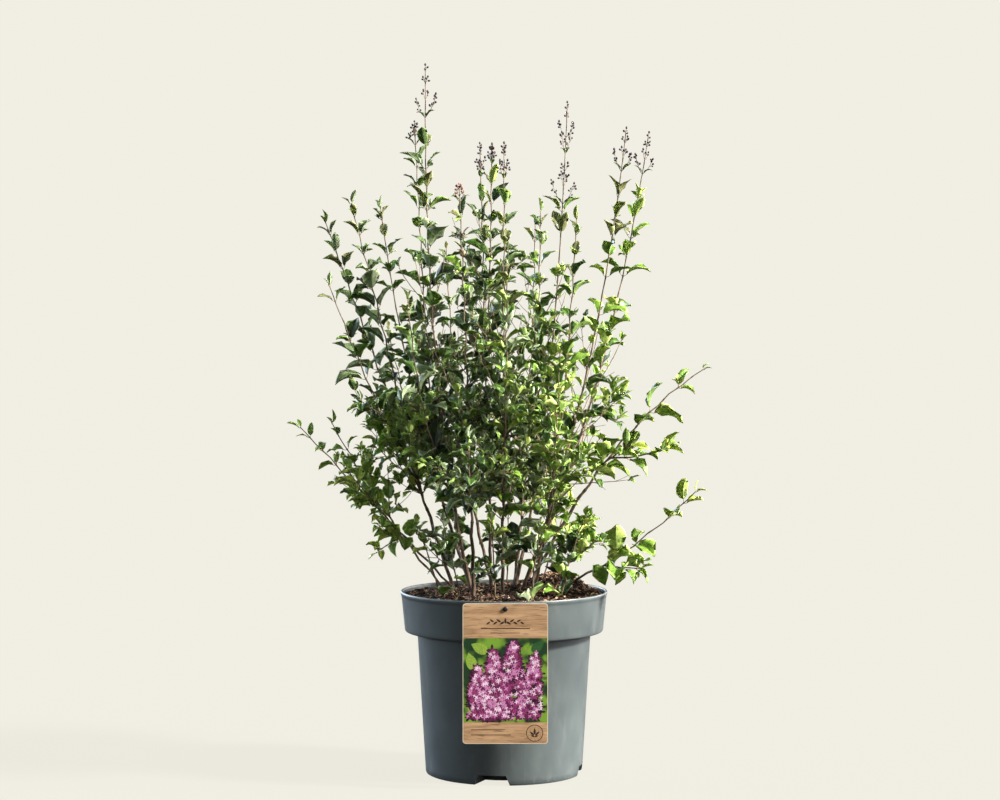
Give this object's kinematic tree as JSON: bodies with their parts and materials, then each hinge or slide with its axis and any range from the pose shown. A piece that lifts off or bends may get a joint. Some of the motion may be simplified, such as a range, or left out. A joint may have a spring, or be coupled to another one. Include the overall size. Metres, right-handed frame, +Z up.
{
  "type": "potted lilac bush",
  "caption": "Small-leaved multi-stemmed lilac bush with closed flower buds, growing in compost in a round collared nursery pot with a hanging care label.",
  "frame": {"origin": "centre of the pot's flat underside, where it stands", "axes": "+Z up along the pot's axis, -Y towards the side that the care label hangs on, +X to the right seen from that side"},
  "size_m": [0.6076, 0.4958, 0.9882],
  "materials": {
    "pot": "satin",
    "compost": "matte",
    "label": "satin",
    "peg": "satin",
    "bark": "matte",
    "foliage": "satin"
  },
  "bodies": {
    "root": {"pot": "pot", "compost": "compost", "label": "label", "label_peg": "peg", "stem_front": "bark", "stem_left_tall": "bark", "stem_left_fan": "bark", "stem_left_low": "bark", "stem_left_back_low": "bark", "stem_left_back": "bark", "stem_back_left": "bark", "stem_centre_left": "bark", "stem_centre": "bark", "stem_centre_right": "bark", "stem_front_right": "bark", "stem_right": "bark", "stem_right_back": "bark", "stem_back_right": "bark", "stem_right_arch": "bark", "stem_right_low": "bark", "foliage_front": "foliage", "foliage_left_tall": "foliage", "foliage_left_fan": "foliage", "foliage_left_low": "foliage", "foliage_left_back_low": "foliage", "foliage_left_back": "foliage", "foliage_back_left": "foliage", "foliage_centre_left": "foliage", "foliage_centre": "foliage", "foliage_centre_right": "foliage", "foliage_front_right": "foliage", "foliage_right": "foliage", "foliage_right_back": "foliage", "foliage_back_right": "foliage", "foliage_right_arch": "foliage", "foliage_right_low": "foliage", "young_shoot_front": "foliage", "young_shoot_left": "foliage", "young_shoot_right": "foliage", "young_shoot_front_left": "foliage", "young_shoot_front_right": "foliage", "young_shoot_back_right": "foliage", "young_shoot_back_left": "foliage", "young_shoot_back": "foliage"}
  },
  "joints": []
}
